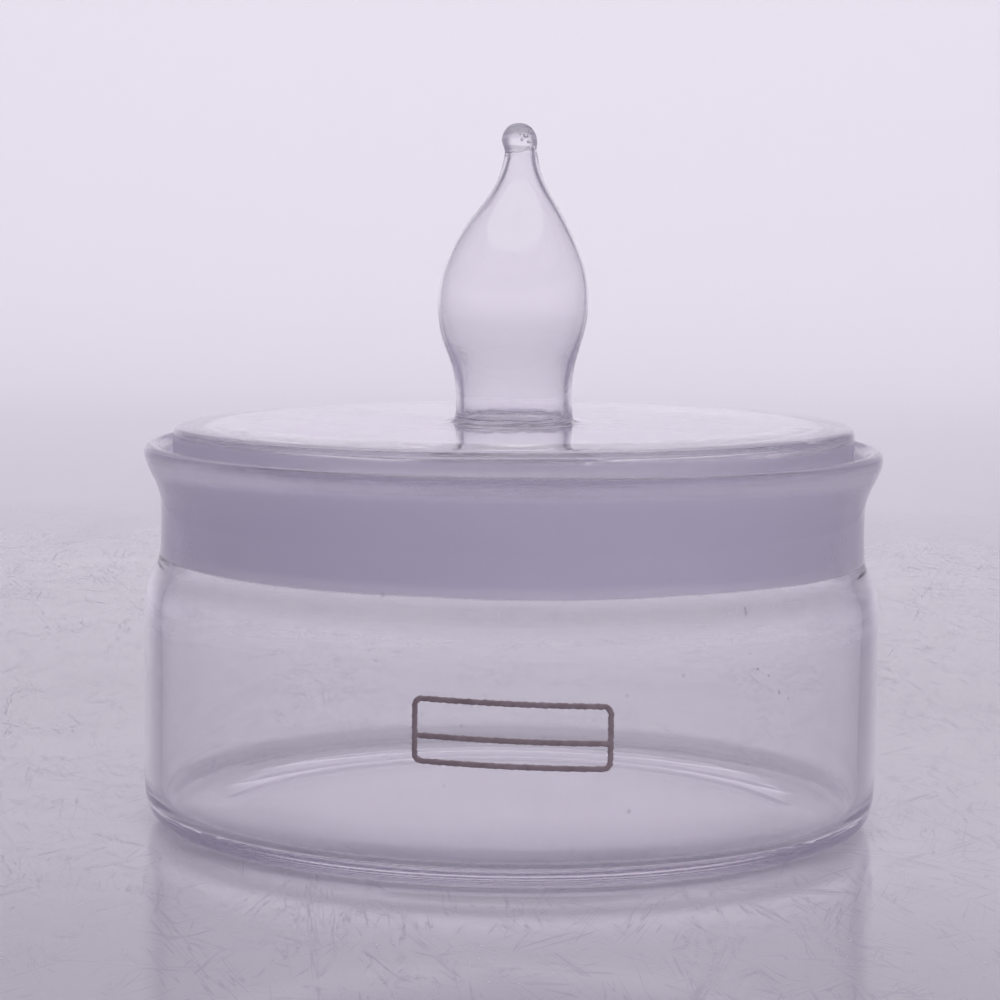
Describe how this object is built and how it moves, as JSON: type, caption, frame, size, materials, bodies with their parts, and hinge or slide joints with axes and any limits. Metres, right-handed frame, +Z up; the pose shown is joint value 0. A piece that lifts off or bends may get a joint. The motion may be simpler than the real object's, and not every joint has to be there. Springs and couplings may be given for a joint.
{
  "type": "weighing bottle",
  "caption": "Low-form clear glass bottle with a ground neck and a lift-off hollow ground stopper carrying a blown glass knob.",
  "frame": {"origin": "centre of the flat base where it stands on the bench", "axes": "+Z up along the bottle's axis, -Y towards the enamel writing frame on the front, +X to the right seen from the front"},
  "size_m": [0.0702, 0.0702, 0.0664],
  "materials": {
    "clear_glass": "clear borosilicate glass, fire polished, bore of the collar ground matt",
    "fired_enamel": "brown-grey fired enamel print, matt",
    "ground_glass": "clear top plate, skirt ground matt on the outside",
    "knob_glass": "thin blown clear glass",
    "bead_glass": "solid clear glass bead"
  },
  "bodies": {
    "bottle": {"bottle_body": "clear_glass", "enamel_frame": "fired_enamel"},
    "stopper": {"stopper_shell": "ground_glass", "knob_bulb": "knob_glass", "knob_bead": "bead_glass"}
  },
  "joints": [
    {"name": "stopper_lift", "type": "slide", "parent": "bottle", "child": "stopper", "axis": [0, 0, 1], "range_m": [0, 0.04]}
  ]
}
